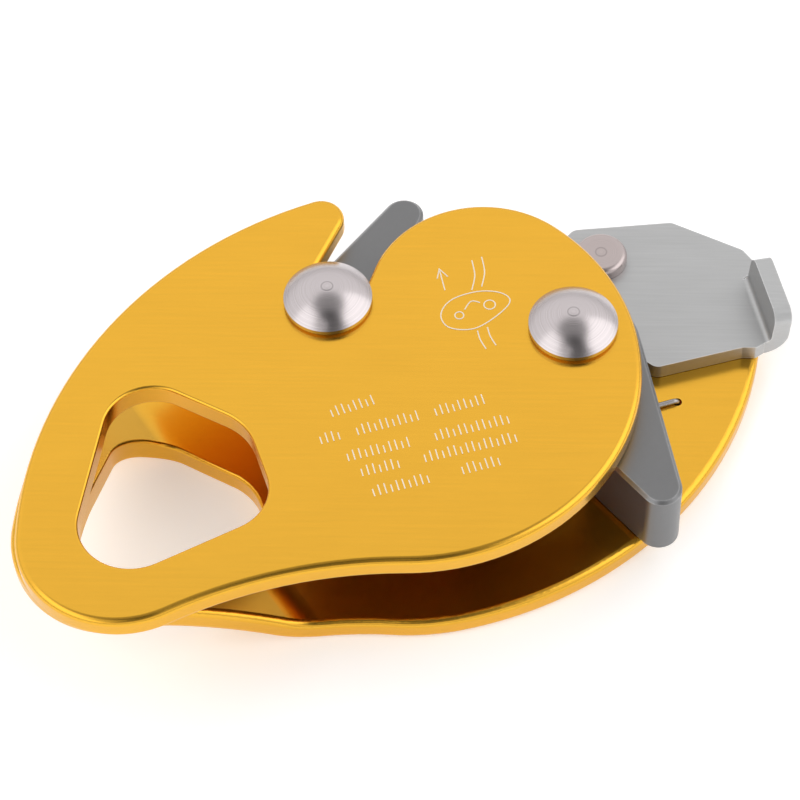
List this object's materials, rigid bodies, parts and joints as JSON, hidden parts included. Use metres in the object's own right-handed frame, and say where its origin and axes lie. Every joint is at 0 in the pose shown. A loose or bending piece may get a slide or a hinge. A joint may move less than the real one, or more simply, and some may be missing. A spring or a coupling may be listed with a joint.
{
  "type": "rope grab",
  "caption": "Fall-arrest rope grab: two shaped side plates hinged at a main rivet close round a rope, with a sprung brake cam, a rope lever, a cam catch and a connector eye.",
  "frame": {"origin": "in the middle of the rope channel, midway between the cam pivot and the stop rivet, on the back face of the rear plate", "axes": "+X along the tool from the connector eye to the cam pivot, +Z from the rear plate to the front plate, +Y across the tool towards the stop rivet's side"},
  "size_m": [0.1325, 0.0738, 0.0259],
  "materials": {
    "anodised_aluminium": "gold anodised, satin",
    "coated_steel": "grey coated, satin",
    "catch_steel": "brushed",
    "rivet_steel": "turned, polished",
    "pin_steel": "ground",
    "bronze": "plain bearing bronze",
    "spring_wire": "drawn spring wire"
  },
  "bodies": {
    "frame": {"rear_plate": "anodised_aluminium", "main_rivet": "rivet_steel", "stop_rivet": "rivet_steel", "catch_rivet": "rivet_steel", "cam_sleeve": "pin_steel", "stop_sleeve": "pin_steel", "catch_sleeve": "pin_steel", "cam_washer_lower": "bronze", "cam_washer_upper": "bronze", "lever_washer_lower": "bronze", "lever_washer_upper": "bronze", "cam_stop_pin": "pin_steel", "lever_stop_pin": "pin_steel", "catch_stop_pin": "pin_steel", "spring_post": "rivet_steel", "cam_spring": "spring_wire", "lever_spring": "spring_wire", "catch_spring": "spring_wire"},
    "front": {"front_plate": "anodised_aluminium", "front_plate_bush": "bronze"},
    "cam": {"brake_cam": "coated_steel", "cam_bush": "bronze"},
    "lever": {"rope_lever": "coated_steel", "lever_bush": "bronze"},
    "catch": {"cam_catch": "catch_steel"}
  },
  "joints": [
    {"name": "front_plate_hinge", "type": "hinge", "parent": "frame", "child": "front", "pos_m": [0.0166, -0.01013, 0.011], "axis": [0, 0, 1], "range_deg": [0, 120]},
    {"name": "cam_hinge", "type": "hinge", "parent": "frame", "child": "cam", "pos_m": [0.0166, -0.01013, 0.011], "axis": [0, 0, 1], "range_deg": [0, 25], "stiffness_Nm_per_rad": 0.05, "springref_deg": -40.11},
    {"name": "lever_hinge", "type": "hinge", "parent": "frame", "child": "lever", "pos_m": [-0.0166, 0.01013, 0.011], "axis": [0, 0, 1], "range_deg": [0, 25], "stiffness_Nm_per_rad": 0.03, "springref_deg": -34.38},
    {"name": "catch_hinge", "type": "hinge", "parent": "frame", "child": "catch", "pos_m": [0.0315, 0.0106, 0.0055], "axis": [0, 0, 1], "range_deg": [0, 14], "stiffness_Nm_per_rad": 0.01, "springref_deg": -28.65}
  ]
}
